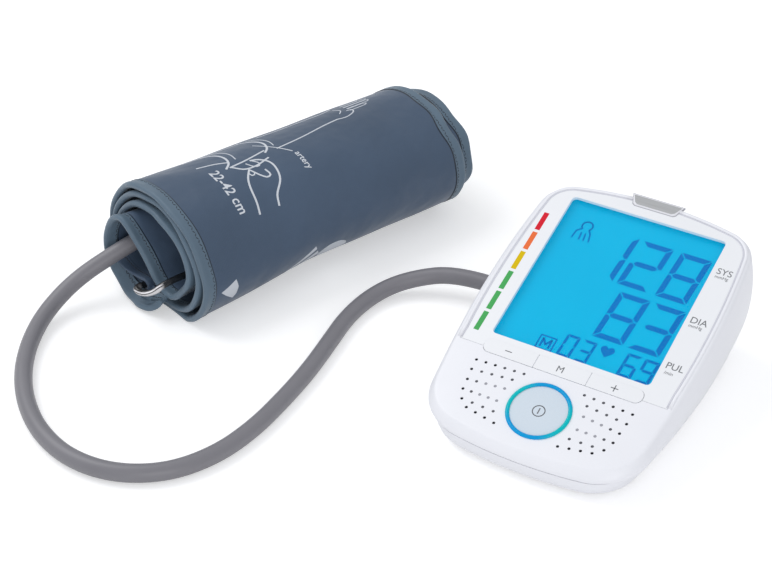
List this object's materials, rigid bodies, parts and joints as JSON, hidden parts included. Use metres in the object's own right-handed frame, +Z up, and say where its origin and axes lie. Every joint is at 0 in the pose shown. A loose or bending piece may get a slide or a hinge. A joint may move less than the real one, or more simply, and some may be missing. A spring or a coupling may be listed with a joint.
{
  "type": "upper arm blood pressure monitor",
  "caption": "Desktop upper-arm blood pressure monitor with a tilted display, press keys, battery door, plug-in air hose and rolled cuff with a wire bar.",
  "frame": {"origin": "on the surface the set stands on, under the middle of the monitor and the rolled cuff together (the hose left out)", "axes": "+X to the user's right along the display's width, +Y to the monitor's tall back, +Z up"},
  "size_m": [0.2795, 0.2734, 0.059],
  "materials": {
    "white_shell": "fine satin texture",
    "white_plate": "satin",
    "clear_lens": "polished",
    "blue_lcd": "smooth",
    "light_guide": "clear, frosted back",
    "dark_strip": "matt",
    "silver_badge": "satin",
    "blue_ring": "gloss",
    "silver_button": "satin",
    "board_green": "solder mask",
    "chip_black": "satin",
    "zinc_steel": "zinc plated",
    "black_rubber": "matt",
    "grey_key": "satin",
    "speaker_black": "satin",
    "paper_cone": "matt",
    "magnet_steel": "nickel plated",
    "motor_can": "satin",
    "pump_black": "satin",
    "copper_armature": "satin",
    "valve_white": "satin",
    "clear_silicone": "satin",
    "socket_grey": "satin",
    "cell_jacket": "printed film",
    "contact_nickel": "nickel plated",
    "grey_plug": "satin",
    "grey_hose": "satin",
    "cuff_cloth": "woven nylon",
    "bladder_film": "film",
    "chrome_wire": "polished",
    "loop_cloth": "woven tape"
  },
  "bodies": {
    "monitor": {"upper_housing": "white_shell", "lower_housing": "white_shell", "display_frame": "white_plate", "display_window": "clear_lens", "lcd_panel": "blue_lcd", "backlight_guide": "light_guide", "lcd_contact_strip": "dark_strip", "badge_plate": "silver_badge", "power_ring": "blue_ring", "main_board": "board_green", "board_parts": "chip_black", "board_screws": "zinc_steel", "tact_switches": "chip_black", "pressure_sensor": "chip_black", "housing_screws": "zinc_steel", "rubber_feet": "black_rubber", "speaker_basket": "speaker_black", "speaker_magnet": "magnet_steel", "pump_motor": "motor_can", "pump_head": "pump_black", "valve_body": "valve_white", "air_tee": "valve_white", "air_tubes": "clear_silicone", "air_socket": "socket_grey", "batteries": "cell_jacket", "battery_contacts": "contact_nickel"},
    "power_button": {"power_button": "silver_button"},
    "minus_key": {"minus_key": "grey_key"},
    "memory_key": {"memory_key": "grey_key"},
    "plus_key": {"plus_key": "grey_key"},
    "battery_door": {"battery_door": "white_shell"},
    "pump_rotor": {"pump_rotor": "copper_armature"},
    "valve_plunger": {"valve_plunger": "zinc_steel"},
    "speaker_cone": {"speaker_cone": "paper_cone"},
    "cuff_set": {"air_plug": "grey_plug", "air_hose": "grey_hose", "hose_nipple": "grey_plug", "cuff_wrap": "cuff_cloth", "cuff_bladder": "bladder_film", "bar_loop": "loop_cloth"},
    "cuff_bar": {"cuff_bar": "chrome_wire"}
  },
  "joints": [
    {"name": "power_press", "type": "slide", "parent": "monitor", "child": "power_button", "axis": [0, 0.3305, -0.9438], "range_m": [0, 0.0005], "stiffness_N_per_m": 1500, "springref_m": -0.0002},
    {"name": "minus_press", "type": "slide", "parent": "monitor", "child": "minus_key", "axis": [0, 0.3305, -0.9438], "range_m": [0, 0.0005], "stiffness_N_per_m": 1200, "springref_m": -0.0002},
    {"name": "memory_press", "type": "slide", "parent": "monitor", "child": "memory_key", "axis": [0, 0.3305, -0.9438], "range_m": [0, 0.0005], "stiffness_N_per_m": 1200, "springref_m": -0.0002},
    {"name": "plus_press", "type": "slide", "parent": "monitor", "child": "plus_key", "axis": [0, 0.3305, -0.9438], "range_m": [0, 0.0005], "stiffness_N_per_m": 1200, "springref_m": -0.0002},
    {"name": "battery_door_slide", "type": "slide", "parent": "monitor", "child": "battery_door", "axis": [0, 1, 0], "range_m": [0, 0.018]},
    {"name": "pump_spin", "type": "hinge", "parent": "monitor", "child": "pump_rotor", "pos_m": [0.0527, -0.02824, 0.013], "axis": [0, 1, 0], "continuous": true},
    {"name": "valve_stroke", "type": "slide", "parent": "monitor", "child": "valve_plunger", "axis": [0, -1, 0], "range_m": [0, 0.001], "stiffness_N_per_m": 250, "springref_m": -0.0005},
    {"name": "cone_stroke", "type": "slide", "parent": "monitor", "child": "speaker_cone", "axis": [0, -0.3305, 0.9438], "range_m": [-0.0003, 0.0003], "stiffness_N_per_m": 400},
    {"name": "plug_pull", "type": "slide", "parent": "monitor", "child": "cuff_set", "axis": [-1, 0, 0], "range_m": [0, 0.009]},
    {"name": "bar_swing", "type": "hinge", "parent": "cuff_set", "child": "cuff_bar", "pos_m": [-0.0802, -0.00335, 0.0102], "axis": [0.3714, 0.9285, 0], "range_deg": [-15, 1.5]}
  ]
}
